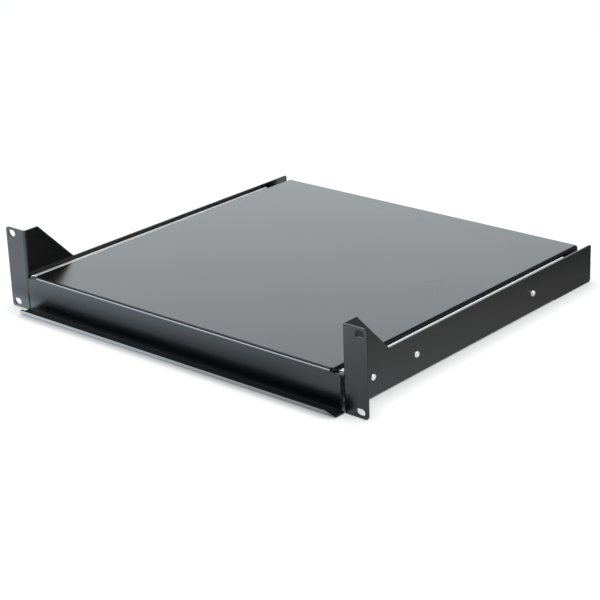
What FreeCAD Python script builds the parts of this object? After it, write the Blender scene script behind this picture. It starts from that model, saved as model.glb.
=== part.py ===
"""Sliding cantilever rack shelf, 2U high, for a 19 inch rack. Millimetres.

X runs to the right, Y to the back and Z up. The pieces are drawn from the ears' bottom edges,
and the origin is then the centre of the rack hole pattern, in the plane of the ears' front faces.
Everything is drawn for the right side, and the left side is its mirror image.
"""
import FreeCAD, Part
import math
import os

V = FreeCAD.Vector
quarter_turn = 90.0
half_turn = 180.0
touching = 1e-6

# Rack ears. Their size and holes follow the 19 inch rack standard for two units, which puts
# the holes 465.1 by 76.2 apart. Ear width is measured to the inner face of the side plate.
rack_width = 482.6
ear_width = 28.5
ear_height = 88.1
ear_corner_radius = 3.5
hole_side_inset = 8.75
hole_end_inset = 5.95
slot_length = 10.2
slot_width = 6.8

# Side plates, folded from one sheet with the ears.
bracket_sheet = 2.0
bracket_bend = 1.0
plate_over_slide = 2.4
plate_behind_tray = 7.5
plate_chamfer = 3.0
plate_top_chamfer = 1.5
gusset_top_depth = 19.5
gusset_foot_depth = 65.5
gusset_fillet = 4.0

# Rear brace, an angle that ties the side plates together under and behind them.
brace_sheet = 1.5
brace_bend = 1.5
brace_depth = 74.0
brace_height = 22.0
brace_chamfer = 6.0
brace_inset = 0.8
weld_leg = 2.2
weld_length = 24.0
upright_weld_length = 14.0

# Telescopic slides: two rolled channels, with balls between them in a cage.
slide_thickness = 10.0
slide_height = 35.0
slide_sheet = 1.0
slide_corner = 0.9
slide_lift = 3.1
slide_front = 4.0
slide_behind_gap = 36.0
travel = 265.0
ball_diameter = 4.0
ball_fit = 0.05
ball_pitch = 22.0
ball_sides = 8
ball_bands = 5
hook_angle = 25.0
cage_sheet = 0.6
cage_gap = 0.37
cage_arm_length = 6.6
joggle_drop = 1.7
joggle_below_race = 1.0
stop_setback = 9.0
stop_height = 8.0
stop_overlap = 0.5
window_length = 4.0
tongue_height = 14.0
tongue_length = 5.5
stop_gap = 0.3
bumper_length = 6.0
bumper_width = 7.0
bumper_height = 16.0
bumper_chamfer = 1.5

# Tray, one folded sheet: top, side and rear flanges, front panel, finger trough and lip.
tray_sheet = 1.5
tray_bend = 1.5
tray_depth = 406.5
tray_below_plate = 1.1
panel_front = 1.5
flange_lift = 1.8
rear_flange_height = 20.0
corner_relief = 4.3
wing_gap = 1.8
wing_top_drop = 3.4
wing_corner_chamfer = 1.5
trough_lift = 0.3
trough_depth = 11.8
trough_bend = 0.5
trough_overhang = 3.3
lip_length = 8.8
lip_lean = 38.0
lip_mitre = 8.5

# Screws. Side plate screws come from outside, tray screws from under the tray.
screw_diameter = 3.5
screw_head_diameter = 7.0
screw_head_height = 2.5
screw_tip_stand_out = 1.5
screw_tip_gap = 0.7
clearance_hole = 3.9
thread_fit = 0.05
plate_front_screw_setback = 36.0
plate_middle_screw_setback = 102.0
plate_rear_screw_setback = 67.5
tray_front_screw_setback = 28.0
tray_rear_screw_setback = 60.0

# Places that follow from the sizes above, measured from the ears' bottom edges.
plate_inner_x = rack_width / 2 - ear_width
plate_outer_x = plate_inner_x + bracket_sheet
plate_bottom = brace_sheet
slide_axis_z = plate_bottom + slide_lift + slide_height / 2
slide_top = slide_axis_z + slide_height / 2
plate_top = slide_top + plate_over_slide
tray_top = plate_top - tray_below_plate
tray_side_x = plate_inner_x - slide_thickness
panel_y = -panel_front
tray_rear = panel_y + tray_depth
plate_rear = tray_rear + plate_behind_tray
slide_rear = tray_rear - slide_behind_gap
wing_x = plate_inner_x - wing_gap
trough_x = wing_x + trough_overhang
wing_top = tray_top - wing_top_drop

ball_radius = ball_diameter / 2
race_radius = ball_radius + ball_fit
race_back = race_radius + slide_sheet
race_middle = race_radius + slide_sheet / 2
ball_height = slide_height / 2 - race_back
cage_side = slide_sheet + cage_gap + cage_sheet / 2
ball_side = cage_side + cage_sheet / 2 + cage_gap + race_back * math.cos(math.radians(hook_angle))
cage_web = slide_sheet + screw_tip_stand_out + screw_tip_gap + cage_sheet / 2

stop_face = slide_front + stop_setback + slide_sheet
tongue_rear = slide_rear - bumper_length - stop_gap
tongue_front = tongue_rear - slide_sheet
cage_front = stop_face + stop_gap + travel / 2
cage_rear = tongue_front - stop_gap - travel / 2


# Outlines and folded sheets

def in_plan(x, y):
    """Put an outline in the plane seen from above."""
    return V(x, y, 0)


def from_side(y, z):
    """Put an outline in the plane seen from the right."""
    return V(0, y, z)


def from_front(x, z):
    """Put an outline in the plane seen from the front."""
    return V(x, 0, z)


def left_of(start, end):
    """Unit vector to the left of the way from start to end."""
    along = (end - start).normalize()
    return V(-along.y, along.x, 0)


def outline_face(corners, place):
    """Face inside a closed outline of (a, b, radius) corners, put in its plane by place."""
    points = [V(a, b, 0) for a, b, radius in corners]
    arcs = []
    for index, (a, b, radius) in enumerate(corners):
        here = points[index]
        if radius <= 0:
            arcs.append((here, None, here))
            continue
        back = (points[index - 1] - here).normalize()
        ahead = (points[(index + 1) % len(points)] - here).normalize()
        half_angle = back.getAngle(ahead) / 2
        reach = radius / math.tan(half_angle)
        inward = (back + ahead).normalize()
        middle = here + inward * (radius / math.sin(half_angle) - radius)
        arcs.append((here + back * reach, middle, here + ahead * reach))
    edges = []
    for index, (start, middle, end) in enumerate(arcs):
        if middle:
            arc = [place(point.x, point.y) for point in (start, middle, end)]
            edges.append(Part.Arc(*arc).toShape())
        following = arcs[(index + 1) % len(arcs)][0]
        if end.distanceToPoint(following) > touching:
            edges.append(Part.makeLine(place(end.x, end.y), place(following.x, following.y)))
    return Part.Face(Part.Wire(edges))


def sheet_face(path, thickness, place):
    """Section of a folded sheet along a path of (a, b, bend radius) at the sheet's middle.

    A bend radius of 0 is an end of the sheet or a sharp fold.
    """
    points = [V(a, b, 0) for a, b, bend in path]
    last = len(points) - 1
    left_side = []
    right_side = []
    for index, (a, b, bend) in enumerate(path):
        before = left_of(points[index - 1], points[index]) if index > 0 else None
        after = left_of(points[index], points[index + 1]) if index < last else None
        before = before or after
        after = after or before
        shift = (before + after) / (1 + before.dot(after)) * (thickness / 2)
        turn = math.copysign(thickness / 2, before.cross(after).z)
        for side, sign in ((left_side, 1), (right_side, -1)):
            point = points[index] + shift * sign
            side.append((point.x, point.y, bend - turn * sign if bend else 0))
    return outline_face(left_side + right_side[::-1], place)


def box(low, high):
    """Box between two corners."""
    return Part.makeBox(*(high - low), low)


def mirrored(shape):
    """Mirror image of a right-hand piece, for the left side."""
    return shape.mirror(V(0, 0, 0), V(1, 0, 0))


# Brackets, brace and welds

def bracket():
    """Ear and side plate in one folded sheet, with the gusset behind the ear."""
    middle_x = plate_inner_x + bracket_sheet / 2
    bend = bracket_bend + bracket_sheet / 2
    fold = [
        (rack_width / 2, bracket_sheet / 2, 0),
        (middle_x, bracket_sheet / 2, bend),
        (middle_x, plate_rear, 0),
    ]
    blank = sheet_face(fold, bracket_sheet, in_plan).extrude(V(0, 0, ear_height))
    behind_bend = bracket_sheet + bracket_bend
    side = [
        (0, 0, 0),
        (0, ear_height, 0),
        (gusset_top_depth, ear_height, 0),
        (gusset_foot_depth, plate_top, gusset_fillet),
        (plate_rear - plate_top_chamfer, plate_top, 0),
        (plate_rear, plate_top - plate_top_chamfer, 0),
        (plate_rear, plate_bottom + plate_chamfer, 0),
        (plate_rear - plate_chamfer, plate_bottom, 0),
        (behind_bend, plate_bottom, 0),
        (behind_bend, 0, 0),
    ]
    front = [
        (0, 0, 0),
        (rack_width / 2, 0, ear_corner_radius),
        (rack_width / 2, ear_height, ear_corner_radius),
        (0, ear_height, 0),
    ]
    blank = blank.common(outline_face(side, from_side).extrude(V(rack_width, 0, 0)))
    blank = blank.common(outline_face(front, from_front).extrude(V(0, plate_rear, 0)))
    return blank.cut(ear_slots()).cut(plate_holes(plate_inner_x, bracket_sheet, clearance_hole))


def ear_slots():
    """The two oblong rack holes of one ear."""
    slots = []
    for z in (hole_end_inset, ear_height - hole_end_inset):
        left = rack_width / 2 - hole_side_inset - slot_length / 2
        right = left + slot_length
        low = z - slot_width / 2
        high = z + slot_width / 2
        corners = [(left, low), (right, low), (right, high), (left, high)]
        outline = [(a, b, slot_width / 2) for a, b in corners]
        slots.append(outline_face(outline, from_front).extrude(V(0, bracket_sheet, 0)))
    return slots


def plate_screw_places():
    """Distances back from the ear face to the side plate screws."""
    return [
        slide_front + plate_front_screw_setback,
        slide_front + plate_middle_screw_setback,
        slide_rear - plate_rear_screw_setback,
    ]


def tray_screw_places():
    """Distances back from the ear face to the tray screws."""
    return [slide_front + tray_front_screw_setback, slide_rear - tray_rear_screw_setback]


def holes(x, depth, diameter, places):
    """Round holes in a row along the slide's middle, from x outwards."""
    return [
        Part.makeCylinder(diameter / 2, depth, V(x, y, slide_axis_z), V(1, 0, 0))
        for y in places
    ]


def plate_holes(x, depth, diameter):
    """Holes for the side plate screws, from x outwards."""
    return holes(x, depth, diameter, plate_screw_places())


def tray_holes(x, depth, diameter):
    """Holes for the tray screws, from x outwards."""
    return holes(x, depth, diameter, tray_screw_places())


def rear_brace():
    """Angle with a deep foot under the side plates and a low upright behind them."""
    middle = brace_sheet / 2
    upright_y = plate_rear + middle
    fold = [
        (plate_rear + brace_sheet - brace_depth, middle, 0),
        (upright_y, middle, brace_bend + middle),
        (upright_y, brace_height, 0),
    ]
    half_length = plate_outer_x - brace_inset
    blank = sheet_face(fold, brace_sheet, from_side)
    blank.translate(V(-half_length, 0, 0))
    blank = blank.extrude(V(2 * half_length, 0, 0))
    front = plate_rear + brace_sheet - brace_depth
    chamfered = half_length - brace_chamfer
    plan = [
        (-half_length, front + brace_chamfer, 0),
        (-chamfered, front, 0),
        (chamfered, front, 0),
        (half_length, front + brace_chamfer, 0),
        (half_length, plate_rear + brace_sheet, 0),
        (-half_length, plate_rear + brace_sheet, 0),
    ]
    return blank.common(outline_face(plan, in_plan).extrude(V(0, 0, brace_height)))


def weld_beads():
    """Two fillet welds in the corner of plate and brace, along the foot and up the upright."""
    foot = [
        (plate_inner_x, brace_sheet, 0),
        (plate_inner_x - weld_leg, brace_sheet, 0),
        (plate_inner_x, brace_sheet + weld_leg, 0),
    ]
    upright = [
        (plate_inner_x, plate_rear, 0),
        (plate_inner_x - weld_leg, plate_rear, 0),
        (plate_inner_x, plate_rear - weld_leg, 0),
    ]
    clear_of_corner = plate_chamfer + weld_leg
    foot_bead = outline_face(foot, from_front).extrude(V(0, weld_length, 0))
    foot_bead.translate(V(0, plate_rear - clear_of_corner - weld_length, 0))
    upright_bead = outline_face(upright, in_plan).extrude(V(0, 0, upright_weld_length))
    upright_bead.translate(V(0, 0, plate_bottom + clear_of_corner))
    return [foot_bead, upright_bead]


# Slides

def across_slide(side, height):
    """Put a point of the slide's section: side from the plate, height from the slide's middle."""
    return from_front(plate_inner_x - side, slide_axis_z + height)


def race_point(angle, radius):
    """Point of the section at an angle and radius around the upper ball."""
    turn = math.radians(angle)
    return (ball_side + radius * math.cos(turn), ball_height + radius * math.sin(turn))


def channel(first_angle, web_side):
    """Rolled channel whose upper race hooks round the ball for a quarter turn from first_angle."""
    hook_end = race_point(first_angle, race_middle)
    race_corner = race_point(first_angle + quarter_turn / 2, race_middle * math.sqrt(2))
    slope = math.tan(math.radians(hook_angle))
    race_end = race_point(first_angle + quarter_turn, race_middle)
    rise = abs(race_end[0] - web_side) * slope
    web_height = race_end[1] + math.copysign(rise, ball_height - race_end[1])
    upper = [
        (*hook_end, 0),
        (*race_corner, race_middle),
        (web_side, web_height, slide_corner + slide_sheet / 2),
    ]
    lower = [(side, -height, bend) for side, height, bend in reversed(upper)]
    return sheet_face(upper + lower, slide_sheet, across_slide)


def between(shape, front, rear):
    """Run a section of the slide from front to rear."""
    shape.translate(V(0, front, 0))
    return shape.extrude(V(0, rear - front, 0))


def slide_box(side, width, height, front, length):
    """Box inside the slide, centred on its height, from side towards the tray."""
    low = V(plate_inner_x - side - width, front, slide_axis_z - height / 2)
    return box(low, low + V(width, length, height))


def slide_outer():
    """Fixed channel on the side plate, with the front stop lanced out of its web."""
    body = between(channel(hook_angle, slide_sheet / 2), slide_front, slide_rear)
    reach = cage_web + cage_sheet / 2 + stop_overlap
    stop = slide_box(0, reach, stop_height, stop_face - slide_sheet, slide_sheet)
    window = slide_box(0, slide_sheet, stop_height, stop_face, window_length)
    threads = plate_holes(plate_inner_x - slide_sheet, slide_sheet, screw_diameter + 2 * thread_fit)
    return body.fuse(stop).cut([window] + threads).removeSplitter()


def slide_inner():
    """Moving channel on the tray's flange, with a stop tongue bent in at its rear end."""
    web_side = slide_thickness - slide_sheet / 2
    body_rear = tongue_rear - tongue_length
    body = between(channel(hook_angle + half_turn, web_side), slide_front, body_rear)
    tongue_tip = plate_inner_x - cage_web + cage_sheet / 2
    fold = [
        (plate_inner_x - web_side, body_rear, 0),
        (plate_inner_x - web_side, tongue_rear - slide_sheet / 2, 0),
        (tongue_tip, tongue_rear - slide_sheet / 2, 0),
    ]
    tongue = sheet_face(fold, slide_sheet, in_plan).extrude(V(0, 0, tongue_height))
    tongue.translate(V(0, 0, slide_axis_z - tongue_height / 2))
    threads = tray_holes(tray_side_x, slide_sheet, screw_diameter + 2 * thread_fit)
    return body.fuse(tongue).cut(threads).removeSplitter()


def ball_places():
    """Distances back from the ear face to the balls, evenly spaced about the cage's middle."""
    end_room = race_back
    gaps = int((cage_rear - cage_front - 2 * end_room) // ball_pitch)
    first = (cage_front + cage_rear - gaps * ball_pitch) / 2
    return [first + index * ball_pitch for index in range(gaps + 1)]


def ball_cage():
    """Thin strip, folded sharp, with a square pocket for each ball and its web set in."""
    arm_end = cage_side - cage_sheet / 2 + cage_arm_length
    joggle = ball_height - race_back - joggle_below_race
    upper = [
        (arm_end, ball_height, 0),
        (cage_side, ball_height, 0),
        (cage_side, joggle, 0),
        (cage_web, joggle - joggle_drop, 0),
    ]
    lower = [(side, -height, bend) for side, height, bend in reversed(upper)]
    cage = between(sheet_face(upper + lower, cage_sheet, across_slide), cage_front, cage_rear)
    reach = V(race_radius, race_radius, cage_sheet)
    return cage.cut([box(middle - reach, middle + reach) for middle in ball_middles()])


def ball_middles():
    """Middles of the balls of both rows."""
    return [
        across_slide(ball_side, row) + V(0, y, 0)
        for y in ball_places()
        for row in (ball_height, -ball_height)
    ]


def ball(middle):
    """Ball with small flat facets: ball_sides of them around, in ball_bands from pole to pole."""
    rings = []
    for band in range(ball_bands + 1):
        tilt = math.pi * band / ball_bands
        ring = []
        for side in range(ball_sides):
            turn = 2 * math.pi * side / ball_sides
            across = V(math.cos(turn), math.sin(turn), 0) * math.sin(tilt)
            ring.append(middle + (across - V(0, 0, math.cos(tilt))) * ball_radius)
        rings.append(ring)
    facets = []
    for below, above in zip(rings, rings[1:]):
        for side in range(ball_sides):
            corners = [below[side - 1], below[side], above[side], above[side - 1]]
            apart = [b for a, b in zip(corners, corners[1:] + corners) if not a.isEqual(b, touching)]
            facets.append(Part.Face(Part.makePolygon(apart + apart[:1])))
    return Part.Solid(Part.Shell(facets))


def balls():
    """Both rows of balls."""
    return [ball(middle) for middle in ball_middles()]


def rear_bumper():
    """Moulded block in the fixed channel's rear end, which the tongue meets when shut."""
    front_y = slide_rear - bumper_length
    back_x = plate_inner_x - slide_sheet
    face_x = back_x - bumper_width
    plan = [
        (back_x, front_y, 0),
        (back_x, slide_rear, 0),
        (face_x + bumper_chamfer, slide_rear, 0),
        (face_x, slide_rear - bumper_chamfer, 0),
        (face_x, front_y + bumper_chamfer, 0),
        (face_x + bumper_chamfer, front_y, 0),
    ]
    block = outline_face(plan, in_plan).extrude(V(0, 0, bumper_height))
    block.translate(V(0, 0, slide_axis_z - bumper_height / 2))
    return block


# Screws

def screws(seat_x, outward, grip, places):
    """Screws in a row, seated at seat_x, heads facing outward (+1 or -1)."""
    way = V(outward, 0, 0)
    length = grip + slide_sheet + screw_tip_stand_out
    made = []
    for y in places:
        seat = V(seat_x, y, slide_axis_z)
        shank = Part.makeCylinder(screw_diameter / 2, length, seat, way * -1)
        head = Part.makeCylinder(screw_head_diameter / 2, screw_head_height, seat, way)
        made.append(shank.fuse(head))
    return made


def plate_screws():
    """Screws through the side plate into the fixed channel."""
    return screws(plate_outer_x, 1, bracket_sheet, plate_screw_places())


def tray_screws():
    """Screws through the tray's side flange into the moving channel."""
    return screws(tray_side_x - tray_sheet, -1, tray_sheet, tray_screw_places())


# Tray

def trough_path():
    """Middle of the sheet from the panel's wings down, forward and up into the leaning lip."""
    half = tray_sheet / 2
    floor_z = trough_lift + half
    lean = math.radians(lip_lean)
    bend = trough_bend + half
    corner_y = panel_y - trough_depth + half * math.tan((math.pi / 2 - lean) / 2)
    return [
        (panel_y + half, wing_top, 0),
        (panel_y + half, floor_z, bend),
        (corner_y, floor_z, bend),
        (corner_y - lip_length * math.sin(lean), floor_z + lip_length * math.cos(lean), 0),
    ]


def front_and_trough():
    """Front panel below the corner reliefs, with its wings, and the wider trough and mitred lip."""
    section = sheet_face(trough_path(), tray_sheet, from_side)
    section.translate(V(-trough_x, 0, 0))
    sheet = section.extrude(V(2 * trough_x, 0, 0))
    floor_top = trough_lift + tray_sheet
    lip_rise = lip_length * math.cos(math.radians(lip_lean))
    overrun = tray_sheet
    mitre = [
        (trough_x, floor_top, 0),
        (trough_x + overrun, floor_top, 0),
        (trough_x + overrun, floor_top + lip_rise + overrun, 0),
        (trough_x - lip_mitre * (1 + overrun / lip_rise), floor_top + lip_rise + overrun, 0),
    ]
    wedge = outline_face(mitre, from_front)
    wedge.translate(V(0, panel_y - trough_bend, 0))
    wedge = wedge.extrude(V(0, -trough_depth - lip_length, 0))
    notch_foot = floor_top + trough_bend
    beside_wing = [
        (wing_x, notch_foot, 0),
        (trough_x, notch_foot, 0),
        (trough_x, wing_top, 0),
        (wing_x - wing_corner_chamfer, wing_top, 0),
        (wing_x, wing_top - wing_corner_chamfer, 0),
    ]
    notch = outline_face(beside_wing, from_front)
    notch.translate(V(0, panel_y, 0))
    notch = notch.extrude(V(0, tray_sheet, 0))
    return sheet.cut([wedge, mirrored(wedge), notch, mirrored(notch)])


def top_front_and_rear():
    """Top of the tray from its rear flange to the bend above the front panel."""
    half = tray_sheet / 2
    bend = tray_bend + half
    path = [
        (tray_rear - half, tray_top - rear_flange_height, 0),
        (tray_rear - half, tray_top - half, bend),
        (panel_y + half, tray_top - half, bend),
        (panel_y + half, wing_top, 0),
    ]
    section = sheet_face(path, tray_sheet, from_side)
    reach = tray_side_x - corner_relief
    section.translate(V(-reach, 0, 0))
    return section.extrude(V(2 * reach, 0, 0))


def top_and_sides():
    """Top of the tray from one side flange over to the other."""
    half = tray_sheet / 2
    bend = tray_bend + half
    flange_end = slide_axis_z - slide_height / 2 + flange_lift
    right = [(tray_side_x - half, flange_end, 0), (tray_side_x - half, tray_top - half, bend)]
    left = [(-x, z, radius) for x, z, radius in reversed(right)]
    section = sheet_face(right + left, tray_sheet, from_front)
    front = panel_y + tray_sheet + tray_bend
    section.translate(V(0, front, 0))
    return section.extrude(V(0, tray_rear - front, 0))


def tray():
    """Sliding tray with its front panel and finger trough."""
    sheet = top_front_and_rear().fuse([top_and_sides(), front_and_trough()])
    flange_holes = tray_holes(tray_side_x - tray_sheet, tray_sheet, clearance_hole)
    return sheet.cut(flange_holes + [mirrored(hole) for hole in flange_holes]).removeSplitter()


# Export

def export(name, solids):
    """Write one node, lowered so that the origin is the rack hole pattern's centre."""
    solids = solids if isinstance(solids, list) else [solids]
    pieces = [solid for shape in solids for solid in shape.Solids]
    shape = pieces[0] if len(pieces) == 1 else Part.makeCompound(pieces)
    shape.translate(V(0, 0, -ear_height / 2))
    shape.exportStep(f"parts/{name}.step")
    print(name, len(pieces), "solids", round(sum(piece.Volume for piece in pieces), 1), shape.isValid())


def export_pair(name, solids):
    """Write the right piece and its mirror image on the left."""
    solids = solids if isinstance(solids, list) else [solids]
    export(f"left_{name}", [mirrored(solid) for solid in solids])
    export(f"right_{name}", solids)


os.makedirs("parts", exist_ok=True)
export_pair("bracket", bracket())
export("rear_brace", rear_brace())
export_pair("weld_beads", weld_beads())
export_pair("slide_outer", slide_outer())
export_pair("slide_inner", slide_inner())
export_pair("ball_cage", ball_cage())
export_pair("balls", balls())
export_pair("rear_bumper", rear_bumper())
export_pair("plate_screws", plate_screws())
export_pair("tray_screws", tray_screws())
export("tray", tray())
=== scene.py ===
import math

import bmesh
import bpy
from mathutils import Matrix, Vector


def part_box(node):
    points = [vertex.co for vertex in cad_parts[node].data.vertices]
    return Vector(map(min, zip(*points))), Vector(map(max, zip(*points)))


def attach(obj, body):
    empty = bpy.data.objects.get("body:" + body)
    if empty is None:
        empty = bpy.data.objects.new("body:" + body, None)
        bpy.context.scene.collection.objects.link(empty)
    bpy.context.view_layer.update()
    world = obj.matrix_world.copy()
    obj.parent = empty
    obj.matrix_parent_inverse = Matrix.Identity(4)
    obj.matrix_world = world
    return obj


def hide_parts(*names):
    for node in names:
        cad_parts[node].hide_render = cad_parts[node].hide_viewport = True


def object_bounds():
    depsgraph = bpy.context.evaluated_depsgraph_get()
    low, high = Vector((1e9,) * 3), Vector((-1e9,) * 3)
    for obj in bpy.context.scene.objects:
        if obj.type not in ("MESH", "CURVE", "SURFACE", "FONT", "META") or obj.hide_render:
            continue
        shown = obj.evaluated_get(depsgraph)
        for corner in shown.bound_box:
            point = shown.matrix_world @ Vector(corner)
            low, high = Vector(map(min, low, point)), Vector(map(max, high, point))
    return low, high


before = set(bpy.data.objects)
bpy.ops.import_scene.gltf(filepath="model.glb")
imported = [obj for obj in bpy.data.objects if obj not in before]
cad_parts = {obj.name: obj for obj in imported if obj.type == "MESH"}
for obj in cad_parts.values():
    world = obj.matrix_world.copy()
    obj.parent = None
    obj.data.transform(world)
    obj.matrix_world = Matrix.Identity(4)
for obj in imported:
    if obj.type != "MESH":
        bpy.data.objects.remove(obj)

cad_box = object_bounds()


# Side brackets. Each is one piece of 2 mm mild steel, laser cut, folded once to make the rack
# ear and the side plate with its gusset, and powder coated satin black over rounded cut edges.

MILLIMETRE = 0.001
BRACKET_EDGE = 0.25 * MILLIMETRE
COAT_BLACK = (0.0014, 0.0015, 0.0017, 1)
COAT_BLACK_PALER = (0.0026, 0.0027, 0.0030, 1)
COAT_EDGE_BLACK = (0.004, 0.0043, 0.0048, 1)
COAT_EDGE_PALER = (0.010, 0.0105, 0.011, 1)
COAT_DUST = (0.016, 0.016, 0.016, 1)
COAT_IOR = 1.52
COAT_ROUGHNESS = (0.255, 0.28)
COAT_EDGE_ROUGHNESS = (0.24, 0.30)
CLOUD_SCALE = 16.0
CLOUD_SPAN = (0.1, 0.9)
DUST_SCALE = 260.0
DUST_SPAN = (0.71, 0.80)
PEEL_SCALE = 620.0
PEEL_DEPTH = 0.010 * MILLIMETRE
GRAIN_SCALE = 4 * PEEL_SCALE
GRAIN_SHARE = 0.3
MERGE_DISTANCE = 0.001 * MILLIMETRE
FLAT_ANGLE = math.radians(0.6)
SHARP_ANGLE = math.radians(40)
FLAT_WEIGHT = 100


def feed(tree, socket, value):
    """Gives a socket a value, or links it when it is given another node's output."""
    if isinstance(value, bpy.types.NodeSocket):
        tree.links.new(value, socket)
    else:
        socket.default_value = value


def add_node(tree, kind, sockets, **settings):
    """Adds a node to a tree, with its settings, and what each of its sockets is given."""
    made = tree.nodes.new(kind)
    for name, value in settings.items():
        setattr(made, name, value)
    for name, value in sockets.items():
        feed(tree, made.inputs[name], value)
    return made


def result_of(tree, operation, *values):
    """One arithmetic step on numbers in a tree."""
    return add_node(tree, "ShaderNodeMath", dict(enumerate(values)), operation=operation).outputs["Value"]


def new_material(name):
    """An empty material, its tree, and the object's own coordinates in it."""
    material = bpy.data.materials.new(name)
    material.use_nodes = True
    tree = material.node_tree
    tree.nodes.clear()
    place = add_node(tree, "ShaderNodeTexCoord", {}).outputs["Object"]
    return material, tree, place


def noise(tree, place, scale, detail, stretch=(1, 1, 1)):
    """A cloudy pattern, from 0 to 1, that can be drawn out along one direction."""
    mapped = add_node(tree, "ShaderNodeMapping", {"Vector": place, "Scale": stretch})
    sockets = {"Vector": mapped.outputs["Vector"], "Scale": scale, "Detail": detail}
    return add_node(tree, "ShaderNodeTexNoise", sockets).outputs["Fac"]


def ramp(tree, pattern, low, high, start=0.3, end=0.7):
    """A number that goes from low to high as the pattern goes from start to end."""
    sockets = {
        "Value": pattern, "From Min": start, "From Max": end, "To Min": low, "To Max": high,
    }
    return add_node(tree, "ShaderNodeMapRange", sockets).outputs["Result"]


def blend_colours(tree, share, first, second):
    """The first colour where the share is 0, and the second where it is 1."""
    mix = add_node(tree, "ShaderNodeMix", {"Factor": share}, data_type="RGBA")
    colours_in = [socket for socket in mix.inputs if socket.type == "RGBA"]
    for socket, colour in zip(colours_in, (first, second)):
        feed(tree, socket, colour)
    return next(socket for socket in mix.outputs if socket.type == "RGBA")


def bumps(tree, height, depth):
    """Bumps that follow a pattern, and stand up by depth where it is 1."""
    sockets = {"Strength": 1.0, "Distance": depth, "Height": height}
    return add_node(tree, "ShaderNodeBump", sockets).outputs["Normal"]


def finish_material(tree, colour, roughness, normal, **constants):
    """The surface itself, with its colour, roughness and bumps, and the values that never vary."""
    sockets = {"Base Color": colour, "Roughness": roughness, "Normal": normal}
    surface = add_node(tree, "ShaderNodeBsdfPrincipled", sockets)
    for name, value in constants.items():
        surface.inputs[name.replace("_", " ")].default_value = value
    output = tree.nodes.new("ShaderNodeOutputMaterial")
    tree.links.new(surface.outputs["BSDF"], output.inputs["Surface"])


def powder_coat(name, colour, paler, roughness, ior=COAT_IOR):
    """Satin powder coat: a fine orange peel, faint clouds where it cured thicker, and sparse dust."""
    material, tree, place = new_material(name)
    clouds = noise(tree, place, CLOUD_SCALE, detail=3.0)
    peel = noise(tree, place, PEEL_SCALE, detail=2.0)
    grain = noise(tree, place, GRAIN_SCALE, detail=1.0)
    dust = ramp(tree, noise(tree, place, DUST_SCALE, detail=6.0), 0.0, 1.0, *DUST_SPAN)
    tone = blend_colours(tree, ramp(tree, clouds, 0.0, 1.0, *CLOUD_SPAN), colour, paler)
    tone = blend_colours(tree, dust, tone, COAT_DUST)
    smoothest, roughest = roughness
    gloss = ramp(tree, clouds, roughest, smoothest, *CLOUD_SPAN)
    height = result_of(tree, "MULTIPLY_ADD", grain, GRAIN_SHARE, peel)
    finish_material(tree, tone, gloss, bumps(tree, height, PEEL_DEPTH), IOR=ior)
    return material


def copy_of_solid(node, name):
    """A copy of a CAD solid's skin, joined up, with one clean face for each flat of the solid."""
    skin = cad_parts[node].data
    bm = bmesh.new()
    corners = [bm.verts.new(vertex.co) for vertex in skin.vertices]
    for triangle in skin.polygons:
        bm.faces.new([corners[index] for index in triangle.vertices])
    bmesh.ops.remove_doubles(bm, verts=bm.verts, dist=MERGE_DISTANCE)
    bmesh.ops.dissolve_limit(bm, angle_limit=FLAT_ANGLE, verts=bm.verts, edges=bm.edges)
    mesh = bpy.data.meshes.new(name)
    bm.to_mesh(mesh)
    bm.free()
    return mesh


def plain_mesh(piece):
    """Turns what a piece's modifiers make into its own mesh, and takes the modifiers off."""
    bpy.context.view_layer.update()
    seen = bpy.context.evaluated_depsgraph_get()
    mesh = bpy.data.meshes.new_from_object(piece.evaluated_get(seen), depsgraph=seen)
    piece.modifiers.clear()
    piece.data = mesh
    mesh.name = piece.name
    return piece


def eased(mesh, edge, materials, segments=2):
    """The piece, its sharp edges rounded off by edge, flats kept flat and folds shaded round.

    The last of the materials is for the rounded edges, where the finish is thinnest.
    """
    piece = bpy.data.objects.new(mesh.name, mesh)
    bpy.context.scene.collection.objects.link(piece)
    for material in materials:
        mesh.materials.append(material)
    mesh.shade_smooth()
    bevel = piece.modifiers.new("rounded edges", "BEVEL")
    bevel.width = edge
    bevel.segments = segments
    bevel.limit_method = "ANGLE"
    bevel.angle_limit = SHARP_ANGLE
    bevel.use_clamp_overlap = False
    bevel.material = len(materials) - 1
    flats = piece.modifiers.new("flat faces", "WEIGHTED_NORMAL")
    flats.mode = "FACE_AREA"
    flats.weight = FLAT_WEIGHT
    return plain_mesh(piece)


def belongs(piece, body, slot, *nodes):
    """The piece moves with its body and stands for its CAD nodes, which are hidden; its slot is not used."""
    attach(piece, body)
    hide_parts(*nodes)


coat = powder_coat("satin_black_coat", COAT_BLACK, COAT_BLACK_PALER, COAT_ROUGHNESS)
coat_on_edges = powder_coat(
    "satin_black_coat_on_edges", COAT_EDGE_BLACK, COAT_EDGE_PALER, COAT_EDGE_ROUGHNESS
)
for side in ("left", "right"):
    skin = copy_of_solid(f"{side}_bracket", f"{side}_bracket_coated")
    bracket = eased(skin, BRACKET_EDGE, [coat, coat_on_edges])
    belongs(bracket, "frame", "black_powder_coat", f"{side}_bracket")


# Rear brace. An angle of 1.5 mm steel, folded and coated with the brackets, that lies under
# both side plates and stands up behind them.

skin = copy_of_solid("rear_brace", "rear_brace_coated")
brace = eased(skin, BRACKET_EDGE, [coat, coat_on_edges])
belongs(brace, "frame", "black_powder_coat", "rear_brace")


# Welds. Short beads join plate and brace on the inside, along the foot and up the upright. They
# are laid by hand as overlapping ripples, and coated over with the rest.

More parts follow.
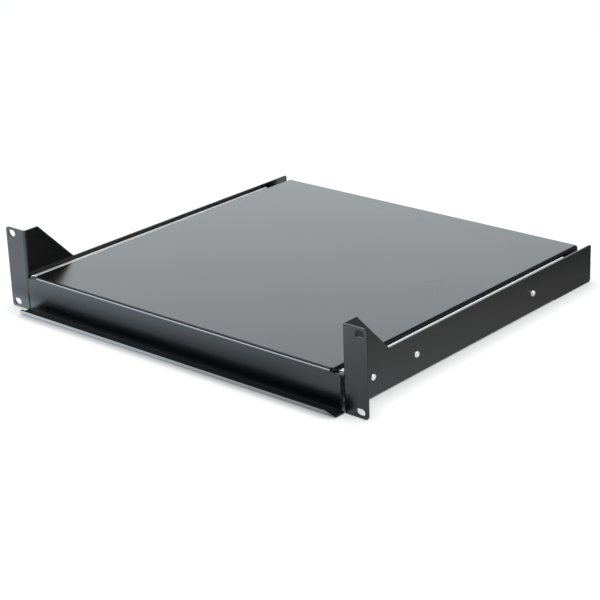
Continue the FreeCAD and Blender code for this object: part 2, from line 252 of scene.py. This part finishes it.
RIPPLE_PITCH = 1.5 * MILLIMETRE
RIPPLE_RADIUS = 1.75 * MILLIMETRE
RIPPLE_LENGTH = 1.5 * MILLIMETRE
RIPPLE_LEAN = math.radians(28)
RIPPLE_DEPTH = 0.62 * MILLIMETRE
RIPPLE_SMALLEST = 0.90
RIPPLE_LARGEST = 1.06
RIPPLE_SEED = 7
RIPPLE_SEGMENTS = 20
RIPPLE_RINGS = 12


def solids_of(node):
    """Lowest and highest corners of each separate solid in a CAD node."""
    bm = bmesh.new()
    bm.from_mesh(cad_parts[node].data)
    bmesh.ops.remove_doubles(bm, verts=bm.verts, dist=MERGE_DISTANCE)
    unreached = set(bm.verts)
    boxes = []
    while unreached:
        reached = {unreached.pop()}
        fresh = set(reached)
        while fresh:
            fresh = {edge.other_vert(corner) for corner in fresh for edge in corner.link_edges} - reached
            reached |= fresh
        unreached -= reached
        places = [corner.co for corner in reached]
        low = Vector([min(place[axis] for place in places) for axis in range(3)])
        high = Vector([max(place[axis] for place in places) for axis in range(3)])
        boxes.append((low, high))
    bm.free()
    return sorted(boxes, key=lambda corners: tuple(corners[0]))


def new_tree(name, sizes):
    """A Geometry Nodes tree with a geometry, named number inputs and a material."""
    tree = bpy.data.node_groups.new(name, "GeometryNodeTree")
    tree.interface.new_socket("Geometry", in_out="INPUT", socket_type="NodeSocketGeometry")
    for size in sizes:
        tree.interface.new_socket(size, in_out="INPUT", socket_type="NodeSocketFloat")
    tree.interface.new_socket("Material", in_out="INPUT", socket_type="NodeSocketMaterial")
    tree.interface.new_socket("Geometry", in_out="OUTPUT", socket_type="NodeSocketGeometry")
    return tree, tree.nodes.new("NodeGroupInput").outputs


def end_tree(tree, geometry, material):
    """Ends a tree: instances made real, shaded smooth, and given their material."""
    real = add_node(tree, "GeometryNodeRealizeInstances", {"Geometry": geometry})
    smooth = add_node(tree, "GeometryNodeSetShadeSmooth", {"Geometry": real.outputs["Geometry"]})
    painted = add_node(tree, "GeometryNodeSetMaterial", {
        "Geometry": smooth.outputs["Geometry"], "Material": material,
    })
    add_node(tree, "NodeGroupOutput", {"Geometry": painted.outputs["Geometry"]})


def random_number(tree, low, high, seed):
    """A number from low to high for each instance, the same at every run."""
    # The node's first two sockets and its first output are for vectors.
    sockets = {2: low, 3: high, "Seed": seed}
    return add_node(tree, "FunctionNodeRandomValue", sockets, data_type="FLOAT").outputs[1]


def grown(name, points, edges, tree, sizes, material):
    """A piece grown by a tree from points and the edges between them, as a plain mesh."""
    mesh = bpy.data.meshes.new(name)
    mesh.from_pydata(points, edges, [])
    piece = bpy.data.objects.new(name, mesh)
    bpy.context.scene.collection.objects.link(piece)
    modifier = piece.modifiers.new(tree.name, "NODES")
    modifier.node_group = tree
    inputs = [item for item in tree.interface.items_tree if item.in_out == "INPUT"]
    sockets = {item.name: item.identifier for item in inputs}
    for size, value in sizes.items():
        modifier[sockets[size]] = value
    modifier[sockets["Material"]] = material
    return plain_mesh(piece)


weld_tree, given = new_tree("weld ripples", ["Pitch", "Radius", "Ripple Length", "Lean"])
path = add_node(weld_tree, "GeometryNodeMeshToCurve", {"Mesh": given["Geometry"]})
stations = add_node(weld_tree, "GeometryNodeCurveToPoints", {
    "Curve": path.outputs["Curve"], "Length": given["Pitch"],
}, mode="LENGTH")
ripple = add_node(weld_tree, "GeometryNodeMeshUVSphere", {
    "Segments": RIPPLE_SEGMENTS, "Rings": RIPPLE_RINGS, "Radius": 1.0,
})
girth = add_node(weld_tree, "ShaderNodeCombineXYZ", {
    "X": given["Radius"], "Y": given["Radius"], "Z": given["Ripple Length"],
})
uneven = random_number(weld_tree, RIPPLE_SMALLEST, RIPPLE_LARGEST, RIPPLE_SEED)
size = add_node(weld_tree, "ShaderNodeVectorMath", {
    "Vector": girth.outputs["Vector"], "Scale": uneven,
}, operation="SCALE")
laid = add_node(weld_tree, "GeometryNodeInstanceOnPoints", {
    "Points": stations.outputs["Points"], "Instance": ripple.outputs["Mesh"],
    "Rotation": stations.outputs["Rotation"], "Scale": size.outputs["Vector"],
})
tilt = add_node(weld_tree, "ShaderNodeCombineXYZ", {"X": given["Lean"]})
leaning = add_node(weld_tree, "GeometryNodeRotateInstances", {
    "Instances": laid.outputs["Instances"], "Rotation": tilt.outputs["Vector"],
})
end_tree(weld_tree, leaning.outputs["Instances"], given["Material"])

for side, inward in (("left", 1), ("right", -1)):
    points = []
    for low, high in solids_of(f"{side}_weld_beads"):
        middle_x = (low.x if side == "left" else high.x) + inward * RIPPLE_DEPTH
        if high.y - low.y > high.z - low.z:
            z = low.z + RIPPLE_DEPTH
            ends = [(middle_x, low.y + RIPPLE_RADIUS, z), (middle_x, high.y - RIPPLE_RADIUS, z)]
        else:
            y = high.y - RIPPLE_DEPTH
            ends = [(middle_x, y, low.z + RIPPLE_RADIUS), (middle_x, y, high.z - RIPPLE_RADIUS)]
        points += ends
    runs = [(index, index + 1) for index in range(0, len(points), 2)]
    welds = grown(f"{side}_weld_ripples", points, runs, weld_tree, {
        "Pitch": RIPPLE_PITCH, "Radius": RIPPLE_RADIUS,
        "Ripple Length": RIPPLE_LENGTH, "Lean": RIPPLE_LEAN,
    }, coat)
    belongs(welds, "frame", "black_powder_coat", f"{side}_weld_beads")


# Slides. Two channels to a side, cold rolled from 1 mm steel strip with a ball race along each
# edge, and plated with bright zinc. The outer is screwed to the plate and the inner to the tray.

SLIDE_EDGE = 0.12 * MILLIMETRE
ZINC_COOL = (0.84, 0.86, 0.89, 1)
ZINC_WARM = (0.88, 0.87, 0.83, 1)
ZINC_DULL = (0.66, 0.67, 0.68, 1)
ZINC_ROUGHNESS = (0.46, 0.60)
TINT_SCALE = 30.0
DULL_SCALE = 90.0
DULL_SHARE = 0.55
DULL_SPAN = (0.56, 0.72)
STREAK_SCALE = 1400.0
SPECK_SCALE = 900.0
SPECK_SHARE = 0.25
ROLL_MARKS = (1.0, 0.015, 1.0)
ROLL_MARK_DEPTH = 0.004 * MILLIMETRE
EVEN_MARKS = (1.0, 1.0, 1.0)
SHEARED_ROUGHNESS = (0.30, 0.45)
SHEARED_DEPTH = 0.006 * MILLIMETRE


def zinc(name, cool, warm, dull, roughness, marks, mark_depth):
    """Bright zinc plate: cool and warm tints, duller patches, and marks drawn along the strip."""
    material, tree, place = new_material(name)
    clouds = noise(tree, place, TINT_SCALE, detail=3.0)
    streaks = noise(tree, place, STREAK_SCALE, detail=3.0, stretch=marks)
    specks = noise(tree, place, SPECK_SCALE, detail=2.0)
    tint = blend_colours(tree, ramp(tree, clouds, 0.0, 1.0), cool, warm)
    patches = ramp(tree, noise(tree, place, DULL_SCALE, detail=5.0), 0.0, DULL_SHARE, *DULL_SPAN)
    colour = blend_colours(tree, patches, tint, dull)
    gloss = ramp(tree, streaks, *roughness)
    height = result_of(tree, "MULTIPLY_ADD", specks, SPECK_SHARE, streaks)
    finish_material(tree, colour, gloss, bumps(tree, height, mark_depth), Metallic=1.0)
    return material


slide_zinc = zinc(
    "rolled_bright_zinc", ZINC_COOL, ZINC_WARM, ZINC_DULL, ZINC_ROUGHNESS, ROLL_MARKS, ROLL_MARK_DEPTH
)
edge_zinc = zinc(
    "sheared_edge_zinc", ZINC_COOL, ZINC_COOL, ZINC_DULL, SHEARED_ROUGHNESS, EVEN_MARKS, SHEARED_DEPTH
)
for side in ("left", "right"):
    for channel, body in (("outer", "frame"), ("inner", "tray")):
        skin = copy_of_solid(f"{side}_slide_{channel}", f"{side}_slide_{channel}_plated")
        slide = eased(skin, SLIDE_EDGE, [slide_zinc, edge_zinc])
        belongs(slide, body, "zinc_plated_steel", f"{side}_slide_{channel}")


# Ball cages. A thin spring steel strip in each slide, folded round the races and pierced with a
# pocket for every ball, so that the balls stay spaced as the channels pass each other.

CAGE_EDGE = 0.08 * MILLIMETRE
CAGE_STEEL = (0.34, 0.35, 0.36, 1)
CAGE_STEEL_WARM = (0.42, 0.41, 0.39, 1)
CAGE_OILED = (0.18, 0.17, 0.15, 1)
CAGE_ROUGHNESS = (0.26, 0.42)
CAGE_MARK_DEPTH = 0.003 * MILLIMETRE

cage_steel = zinc(
    "oiled_cage_steel", CAGE_STEEL, CAGE_STEEL_WARM, CAGE_OILED, CAGE_ROUGHNESS, ROLL_MARKS,
    CAGE_MARK_DEPTH,
)
for side in ("left", "right"):
    skin = copy_of_solid(f"{side}_ball_cage", f"{side}_ball_cage_pressed")
    cage = eased(skin, CAGE_EDGE, [cage_steel], segments=1)
    belongs(cage, f"{side}_cage", "cage_steel", f"{side}_ball_cage")


# Balls. Hardened and polished 4 mm bearing steel, with a film of grease. They sit in the cage's
# pockets, in two rows to a slide, and roll between the races of its two channels.

BALL_STEEL = (0.62, 0.63, 0.65, 1)
BALL_STEEL_SHADE = (0.50, 0.51, 0.54, 1)
BALL_GREASE = (0.36, 0.34, 0.30, 1)
BALL_ROUGHNESS = (0.06, 0.14)
BALL_MARK_DEPTH = 0.0004 * MILLIMETRE
BALL_SUBDIVISIONS = 5

ball_steel = zinc(
    "polished_ball_steel", BALL_STEEL, BALL_STEEL_SHADE, BALL_GREASE, BALL_ROUGHNESS, EVEN_MARKS,
    BALL_MARK_DEPTH,
)
ball_tree, given = new_tree("balls in their pockets", ["Diameter"])
radius = result_of(ball_tree, "MULTIPLY", given["Diameter"], 0.5)
sphere = add_node(ball_tree, "GeometryNodeMeshIcoSphere", {
    "Radius": radius, "Subdivisions": BALL_SUBDIVISIONS,
})
placed = add_node(ball_tree, "GeometryNodeInstanceOnPoints", {
    "Points": given["Geometry"], "Instance": sphere.outputs["Mesh"],
})
end_tree(ball_tree, placed.outputs["Instances"], given["Material"])

for side in ("left", "right"):
    boxes = solids_of(f"{side}_balls")
    middles = [(low + high) / 2 for low, high in boxes]
    diameter = boxes[0][1].z - boxes[0][0].z
    balls = grown(f"{side}_polished_balls", middles, [], ball_tree, {"Diameter": diameter}, ball_steel)
    belongs(balls, f"{side}_cage", "bearing_steel", f"{side}_balls")


# Rear bumpers. Small blocks moulded in black nylon, pushed into the rear end of each fixed
# channel, where they stop the tray quietly when it is shut.

BUMPER_EDGE = 0.6 * MILLIMETRE
NYLON_BLACK = (0.010, 0.010, 0.011, 1)
NYLON_WORN = (0.030, 0.030, 0.031, 1)
NYLON_IOR = 1.53
NYLON_ROUGH = 0.55
NYLON_RUBBED_SMOOTH = 0.40
RUBBED_SCALE = 240.0
RUBBED_SPAN = (0.5, 0.7)
SPARK_SCALE = 2600.0
SPARK_DEPTH = 0.02 * MILLIMETRE


def moulded_nylon(name, colour, worn):
    """Dull moulded plastic with a spark-eroded texture and faint rubbed patches."""
    material, tree, place = new_material(name)
    texture = noise(tree, place, SPARK_SCALE, detail=2.0)
    rubbed = ramp(tree, noise(tree, place, RUBBED_SCALE, detail=3.0), 0.0, 1.0, *RUBBED_SPAN)
    tone = blend_colours(tree, rubbed, colour, worn)
    gloss = ramp(tree, rubbed, NYLON_ROUGH, NYLON_RUBBED_SMOOTH, 0.0, 1.0)
    finish_material(tree, tone, gloss, bumps(tree, texture, SPARK_DEPTH), IOR=NYLON_IOR)
    return material


nylon = moulded_nylon("black_moulded_nylon", NYLON_BLACK, NYLON_WORN)
for side in ("left", "right"):
    skin = copy_of_solid(f"{side}_rear_bumper", f"{side}_rear_bumper_moulded")
    bumper = eased(skin, BUMPER_EDGE, [nylon], segments=3)
    belongs(bumper, "frame", "black_nylon", f"{side}_rear_bumper")


# Tray. One sheet of 1.5 mm steel: top, side and rear flanges, the front panel, the finger trough
# and its leaning lip, all folded from the same blank and powder coated with the brackets. The coat
# along the fold above the trough reflects more strongly than the rest, a painted highlight.

TRAY_EDGE = 0.2 * MILLIMETRE
FOLD_HEIGHT = 4.0 * MILLIMETRE
FOLD_SLANT = 0.2
FOLD_HIGHLIGHT_IOR = 2.4
FOLD_HIGHLIGHT_ROUGHNESS = (0.22, 0.26)


def front_fold(mesh):
    """The outer faces of the fold between the tray's top and its front panel."""
    top = max(corner.co.z for corner in mesh.vertices)
    high_up = [face for face in mesh.polygons if face.center.z > top - FOLD_HEIGHT]
    return [face for face in high_up if face.normal.y < -FOLD_SLANT and face.normal.z > FOLD_SLANT]


# Painted highlight: the fold above the trough gets a higher IOR and a smoother gloss than the rest of the
# coat, so it reflects more.
fold_highlight_coat = powder_coat(
    "satin_black_coat_fold_highlight", COAT_BLACK, COAT_BLACK_PALER, FOLD_HIGHLIGHT_ROUGHNESS, FOLD_HIGHLIGHT_IOR
)
coats = [coat, fold_highlight_coat, coat_on_edges]
skin = copy_of_solid("tray", "tray_coated")
for face in front_fold(skin):
    face.material_index = coats.index(fold_highlight_coat)
tray = eased(skin, TRAY_EDGE, coats)
belongs(tray, "tray", "black_powder_coat", "tray")


# Screws. Pan heads with a cross recess, bright zinc plated, with a rolled thread. Three go
# through each plate into the fixed channel, and two through the tray's flange into the moving one.

HEAD_HEIGHT = 2.5 * MILLIMETRE
SHANK_DIAMETER = 3.5 * MILLIMETRE
THREAD_PITCH = 0.6 * MILLIMETRE
THREAD_HEIGHT = 0.16 * MILLIMETRE
RIM_SHARE = 0.3
CROWN_REACH = 0.74
CROWN_ROUNDNESS = 2.4
RECESS_LENGTH = 0.62
RECESS_WIDTH = 0.17
RECESS_DEPTH = 0.62
HEAD_STEPS = 24
ROUND_SIDES = 48
THREAD_STEPS = 24
THREAD_SIDES = 4
STOP_SEED = 3
SCREW_COOL = (0.90, 0.91, 0.93, 1)
SCREW_WARM = (0.92, 0.91, 0.88, 1)
SCREW_ROUGHNESS = (0.20, 0.34)
SCREW_MARK_DEPTH = 0.004 * MILLIMETRE

screw_tree, given = new_tree("cross recess screws", [
    "Head Diameter", "Head Height", "Shank Diameter", "Shank Length", "Thread Pitch", "Thread Height",
    "Facing",
])


def upward(tree, height):
    """A vector straight up the screw's axis."""
    return add_node(tree, "ShaderNodeCombineXYZ", {"Z": height}).outputs["Vector"]


def turned(tree, bottom, top, radius, points):
    """A closed round body on the screw's axis, whose radius may vary from bottom to top."""
    axis = add_node(tree, "GeometryNodeCurvePrimitiveLine", {"Start": bottom, "End": top})
    fine = add_node(tree, "GeometryNodeResampleCurve", {"Curve": axis.outputs["Curve"], "Count": points})
    ring = add_node(tree, "GeometryNodeCurvePrimitiveCircle", {"Resolution": ROUND_SIDES, "Radius": 1.0})
    body = add_node(tree, "GeometryNodeCurveToMesh", {
        "Curve": fine.outputs["Curve"], "Profile Curve": ring.outputs["Curve"], "Scale": radius,
        "Fill Caps": True,
    })
    return body.outputs["Mesh"]


head_radius = result_of(screw_tree, "MULTIPLY", given["Head Diameter"], 0.5)
along = add_node(screw_tree, "GeometryNodeSplineParameter", {}).outputs["Factor"]
above_rim = result_of(screw_tree, "MAXIMUM", result_of(screw_tree, "SUBTRACT", along, RIM_SHARE), 0.0)
above_rim = result_of(screw_tree, "DIVIDE", above_rim, CROWN_REACH)
drawn_in = result_of(screw_tree, "POWER", above_rim, CROWN_ROUNDNESS)
crown = result_of(screw_tree, "SQRT", result_of(screw_tree, "SUBTRACT", 1.0, drawn_in))
crown_radius = result_of(screw_tree, "MULTIPLY", crown, head_radius)
head_top = upward(screw_tree, given["Head Height"])
head = turned(screw_tree, (0, 0, 0), head_top, crown_radius, HEAD_STEPS)

wing_length = result_of(screw_tree, "MULTIPLY", given["Head Diameter"], RECESS_LENGTH)
wing_width = result_of(screw_tree, "MULTIPLY", given["Head Diameter"], RECESS_WIDTH)
wing_height = result_of(screw_tree, "MULTIPLY", given["Head Height"], 2 * RECESS_DEPTH)
cutters = []
for long_side, short_side in ((wing_length, wing_width), (wing_width, wing_length)):
    block = add_node(screw_tree, "ShaderNodeCombineXYZ", {
        "X": long_side, "Y": short_side, "Z": wing_height,
    })
    wing = add_node(screw_tree, "GeometryNodeMeshCube", {"Size": block.outputs["Vector"]})
    raised = add_node(screw_tree, "GeometryNodeTransform", {
        "Geometry": wing.outputs["Mesh"], "Translation": head_top,
    })
    cutters.append(raised.outputs["Geometry"])
for cutter in cutters:
    cut = add_node(screw_tree, "GeometryNodeMeshBoolean", {
        "Mesh 1": head, "Mesh 2": cutter,
    }, operation="DIFFERENCE", solver="EXACT")
    head = cut.outputs["Mesh"]

shank_radius = result_of(screw_tree, "MULTIPLY", given["Shank Diameter"], 0.5)
core = result_of(screw_tree, "SUBTRACT", shank_radius, given["Thread Height"])
tip = result_of(screw_tree, "MULTIPLY", given["Shank Length"], -1.0)
shank = turned(screw_tree, upward(screw_tree, tip), (0, 0, 0), core, points=2)
turns = result_of(screw_tree, "DIVIDE", given["Shank Length"], given["Thread Pitch"])
turns = result_of(screw_tree, "SUBTRACT", turns, 1.0)
helix = add_node(screw_tree, "GeometryNodeCurveSpiral", {
    "Resolution": THREAD_STEPS, "Rotations": turns, "Start Radius": core, "End Radius": core,
    "Height": result_of(screw_tree, "MULTIPLY", turns, given["Thread Pitch"]),
})
lowered = add_node(screw_tree, "GeometryNodeTransform", {
    "Geometry": helix.outputs["Curve"],
    "Translation": upward(screw_tree, result_of(screw_tree, "ADD", tip, given["Thread Height"])),
})
ridge = add_node(screw_tree, "GeometryNodeCurvePrimitiveCircle", {
    "Resolution": THREAD_SIDES, "Radius": given["Thread Height"],
})
thread = add_node(screw_tree, "GeometryNodeCurveToMesh", {
    "Curve": lowered.outputs["Geometry"], "Profile Curve": ridge.outputs["Curve"], "Fill Caps": True,
})

whole = add_node(screw_tree, "GeometryNodeJoinGeometry", {})
for body in (head, shank, thread.outputs["Mesh"]):
    screw_tree.links.new(body, whole.inputs["Geometry"])
facing = add_node(screw_tree, "ShaderNodeCombineXYZ", {"Y": given["Facing"]})
driven = add_node(screw_tree, "GeometryNodeInstanceOnPoints", {
    "Points": given["Geometry"], "Instance": whole.outputs["Geometry"], "Rotation": facing.outputs["Vector"],
})
stop_angle = random_number(screw_tree, 0.0, math.pi, STOP_SEED)
seated = add_node(screw_tree, "GeometryNodeRotateInstances", {
    "Instances": driven.outputs["Instances"], "Rotation": upward(screw_tree, stop_angle),
})
end_tree(screw_tree, seated.outputs["Instances"], given["Material"])

screw_zinc = zinc(
    "bright_zinc_screw", SCREW_COOL, SCREW_WARM, ZINC_DULL, SCREW_ROUGHNESS, EVEN_MARKS, SCREW_MARK_DEPTH
)
for kind, body in (("plate", "frame"), ("tray", "tray")):
    for side in ("left", "right"):
        seats = []
        outward = (1 if side == "right" else -1) * (1 if kind == "plate" else -1)
        for low, high in solids_of(f"{side}_{kind}_screws"):
            outer_x = high.x if outward > 0 else low.x
            seats.append((outer_x - outward * HEAD_HEIGHT, (low.y + high.y) / 2, (low.z + high.z) / 2))
        screws = grown(f"{side}_{kind}_screws_driven", seats, [], screw_tree, {
            "Head Diameter": high.z - low.z, "Head Height": HEAD_HEIGHT,
            "Shank Diameter": SHANK_DIAMETER, "Shank Length": high.x - low.x - HEAD_HEIGHT,
            "Thread Pitch": THREAD_PITCH, "Thread Height": THREAD_HEIGHT,
            "Facing": outward * math.pi / 2,
        }, screw_zinc)
        belongs(screws, body, "zinc_screw", f"{side}_{kind}_screws")


# Studio. The shelf lies on a wide white table in a white room, with a large soft box overhead, a low
# one in front to the left and a small one to the right. It is seen from in front, above its
# right-hand ear.

WHITE = (1, 1, 1, 1)
FADE_IN = (0.0, 1.0)
FADE_OUT = (1.0, 0.0)
RIGHTWARD = (1, 0, 0)
FRONTWARD = (0, -1, 0)
LEFT_AND_FRONT = (-0.85, -0.53, 0)

TABLE_HALF = 6.0
TABLE_MATT = (0.28, 0.28, 0.28, 1)
TABLE_WHITE = 0.87
SHADE_REACH = 0.032
SHADE_LEVELS = (0.60, 1.0)
SHADE_SPAN = (0.45, 0.95)
COVER_REACH = 0.20
COVER_SPAN = (0.04, 0.30)

SHEEN = (LEFT_AND_FRONT, (0.0, 1.98), (-0.49, 0.30))
SHEEN_TINT = (LEFT_AND_FRONT, FADE_IN, (-0.40, 0.10))
SHEEN_WARM = (1.0, 0.98, 0.95, 1)
SHEEN_COOL = (0.84, 0.96, 1.06, 1)
LIP_GLOW_LEVELS = (1.45, 0.0)
LIP_GLOW_SPAN = (-1.0 * MILLIMETRE, 13.0 * MILLIMETRE)
LIP_GLOW_RIGHT = (-14.0 * MILLIMETRE, 0.7 * MILLIMETRE)
LIP_SHADE_LEVELS = (-0.65, 0.22)
LIP_SHADE_SPAN = (24.0 * MILLIMETRE, 42.0 * MILLIMETRE)
LIP_SHADE_LEFT = (-86.0 * MILLIMETRE, -6.0 * MILLIMETRE)
LIP_SHADE_RIGHT = (-114.0 * MILLIMETRE, -54.0 * MILLIMETRE)

ROOM_COLOUR = (0.94, 1.0, 1.04, 1)
ROOM_WHITE = 1.0
ROOM_SCATTERED = 0.35
ROOM_LEFT = ((-1, 0, 0), (0.3, 2.36), (0.05, 0.52))
ROOM_BEHIND = ((0, 1, 0), (0.1, 1.0), (-0.2, 0.4))
ROOM_HEIGHT = ((0, 0, 1), (1.0, 0.25), (0.24, 0.66))
ROOM_RIGHT_AND_FRONT = ((0.7, -0.7, 0), (0.0, 1.1), (0.15, 0.65))
LAMP_WHITE = (1.0, 1.0, 1.0)
LAMP_COOL = (0.80, 0.91, 1.0)

CAMERA_PLACE = Vector((1.1545, -1.1250, 0.64125))
CAMERA_TARGET = Vector((-0.0289, 0.2200, -0.05995))
CAMERA_ROLL = math.radians(1.98)
CAMERA_LENS = 106.96

table_level = cad_box[0].z
corners = [(-1, -1), (1, -1), (1, 1), (-1, 1)]
table_mesh = bpy.data.meshes.new("white_table")
table_mesh.from_pydata(
    [(x * TABLE_HALF, y * TABLE_HALF, table_level) for x, y in corners], [], [(0, 1, 2, 3)]
)
table = bpy.data.objects.new("white_table", table_mesh)
bpy.context.scene.collection.objects.link(table)


def product_of(tree, first, *others):
    """Several numbers multiplied together."""
    for other in others:
        first = result_of(tree, "MULTIPLY", first, other)
    return first


def ramp_along(tree, place, direction, levels, span):
    """A number that goes between two levels as a place goes through a span along a direction."""
    reach = add_node(tree, "ShaderNodeVectorMath", {0: place, 1: direction}, operation="DOT_PRODUCT")
    return ramp(tree, reach.outputs["Value"], *levels, *span)


def openness(tree, reach):
    """1 where nothing stands over the table within reach, and 0 where it is covered."""
    return add_node(tree, "ShaderNodeAmbientOcclusion", {"Distance": reach}).outputs["AO"]


def shown_in_surfaces(tree):
    """1 for what shows in glossy and clear surfaces, and 0 for all else."""
    rays = add_node(tree, "ShaderNodeLightPath", {}).outputs
    return result_of(tree, "MAXIMUM", rays["Is Glossy Ray"], rays["Is Transmission Ray"])


def shown_to_camera(tree):
    """1 for what is seen directly, and 0 for all else."""
    return add_node(tree, "ShaderNodeLightPath", {}).outputs["Is Camera Ray"]


def from_edge(edge, span):
    """A span that is measured from an edge of the tray."""
    return [edge + distance for distance in span]


# In glossy surfaces the table is brightest to the left and in front. It glows under the tray and
# just before the lip, and is darker in a strip in front of that, along most of the tray's width.
table_white, tree, place = new_material("white_table")
matt = add_node(tree, "ShaderNodeBsdfDiffuse", {"Color": TABLE_MATT})
uncovered = ramp(tree, openness(tree, COVER_REACH), *FADE_IN, *COVER_SPAN)
shade = ramp(tree, openness(tree, SHADE_REACH), *SHADE_LEVELS, *SHADE_SPAN)

tray_low, tray_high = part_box("tray")
lip_glow = product_of(
    tree,
    ramp_along(tree, place, FRONTWARD, LIP_GLOW_LEVELS, from_edge(-tray_low.y, LIP_GLOW_SPAN)),
    ramp_along(tree, place, RIGHTWARD, FADE_OUT, from_edge(tray_high.x, LIP_GLOW_RIGHT)),
)
lip_shade = product_of(
    tree,
    ramp_along(tree, place, FRONTWARD, LIP_SHADE_LEVELS, from_edge(-tray_low.y, LIP_SHADE_SPAN)),
    ramp_along(tree, place, RIGHTWARD, FADE_IN, from_edge(tray_low.x, LIP_SHADE_LEFT)),
    ramp_along(tree, place, RIGHTWARD, FADE_OUT, from_edge(tray_high.x, LIP_SHADE_RIGHT)),
)
near_lip = result_of(tree, "MAXIMUM", lip_glow, result_of(tree, "ADD", lip_shade, 1.0))
sheen = product_of(tree, ramp_along(tree, place, *SHEEN), near_lip)
sheen_colour = blend_colours(tree, ramp_along(tree, place, *SHEEN_TINT), SHEEN_WARM, SHEEN_COOL)

# Seen directly the table is white, darkened as painted shade where the shelf covers it or stands close by.
white = add_node(tree, "ShaderNodeEmission", {
    "Color": WHITE, "Strength": product_of(tree, shown_to_camera(tree), shade, uncovered, TABLE_WHITE),
})
shine = add_node(tree, "ShaderNodeEmission", {
    "Color": sheen_colour, "Strength": product_of(tree, shown_in_surfaces(tree), uncovered, sheen),
})
both = add_node(tree, "ShaderNodeAddShader", {0: white.outputs["Emission"], 1: shine.outputs["Emission"]})
total = add_node(tree, "ShaderNodeAddShader", {0: matt.outputs["BSDF"], 1: both.outputs["Shader"]})
add_node(tree, "ShaderNodeOutputMaterial", {"Surface": total.outputs["Shader"]})
table_mesh.materials.append(table_white)

# The room's walls are seen plain white. In glossy surfaces they are brightest low down to the left
# and behind, and to the right and in front.
world = bpy.data.worlds.new("white_room")
bpy.context.scene.world = world
world.use_nodes = True
tree = world.node_tree
tree.nodes.clear()
direction = add_node(tree, "ShaderNodeTexCoord", {}).outputs["Generated"]
bright = product_of(
    tree,
    ramp_along(tree, direction, *ROOM_LEFT),
    ramp_along(tree, direction, *ROOM_BEHIND),
    ramp_along(tree, direction, *ROOM_HEIGHT),
)
bright = result_of(tree, "ADD", bright, ramp_along(tree, direction, *ROOM_RIGHT_AND_FRONT))
brighter = result_of(tree, "SUBTRACT", bright, ROOM_SCATTERED)
brighter = product_of(tree, shown_in_surfaces(tree), brighter)
strength = result_of(tree, "ADD", brighter, ROOM_SCATTERED)
room = add_node(tree, "ShaderNodeBackground", {"Color": ROOM_COLOUR, "Strength": strength})
walls = add_node(tree, "ShaderNodeBackground", {"Color": WHITE, "Strength": ROOM_WHITE})
either = add_node(tree, "ShaderNodeMixShader", {
    0: shown_to_camera(tree), 1: room.outputs["Background"], 2: walls.outputs["Background"],
})
add_node(tree, "ShaderNodeOutputWorld", {"Surface": either.outputs["Shader"]})


def soft_box(name, place, target, width, height, brightness, colour):
    """A lamp with a rectangular face, turned to a target. Brightness 1 is as bright as white."""
    lamp = bpy.data.lights.new(name, "AREA")
    lamp.shape = "RECTANGLE"
    lamp.size = width
    lamp.size_y = height
    lamp.energy = brightness * math.pi * width * height
    lamp.color = colour
    box = bpy.data.objects.new(name, lamp)
    bpy.context.scene.collection.objects.link(box)
    box.location = place
    box.rotation_euler = (Vector(target) - Vector(place)).to_track_quat("-Z", "Y").to_euler()
    box.visible_camera = False


soft_box(
    "overhead_box", place=(0.0, 0.25, 1.55), target=(0.0, 0.2, 0.0),
    width=1.2, height=1.2, brightness=2.2, colour=LAMP_WHITE,
)
soft_box(
    "front_left_box", place=(-1.16, -1.25, 0.40), target=(0.0, 0.0, 0.0),
    width=1.15, height=0.75, brightness=3.2, colour=LAMP_COOL,
)
soft_box(
    "right_box", place=(1.55, 0.75, 0.42), target=(0.2, 0.2, 0.0),
    width=0.5, height=0.5, brightness=9.0, colour=LAMP_WHITE,
)

lens = bpy.data.cameras.new("studio_camera")
lens.lens = CAMERA_LENS
lens.sensor_width = 36.0
lens.clip_start = 0.05
lens.clip_end = 50.0
camera = bpy.data.objects.new("studio_camera", lens)
bpy.context.scene.collection.objects.link(camera)
ahead = (CAMERA_TARGET - CAMERA_PLACE).normalized()
level_right = ahead.cross(Vector((0, 0, 1))).normalized()
level_up = level_right.cross(ahead)
right = math.cos(CAMERA_ROLL) * level_right - math.sin(CAMERA_ROLL) * level_up
up = math.cos(CAMERA_ROLL) * level_up + math.sin(CAMERA_ROLL) * level_right
turned_camera = Matrix((right, up, -ahead)).transposed().to_4x4()
camera.matrix_world = Matrix.Translation(CAMERA_PLACE) @ turned_camera
bpy.context.scene.camera = camera
bpy.context.scene.view_settings.view_transform = "Standard"
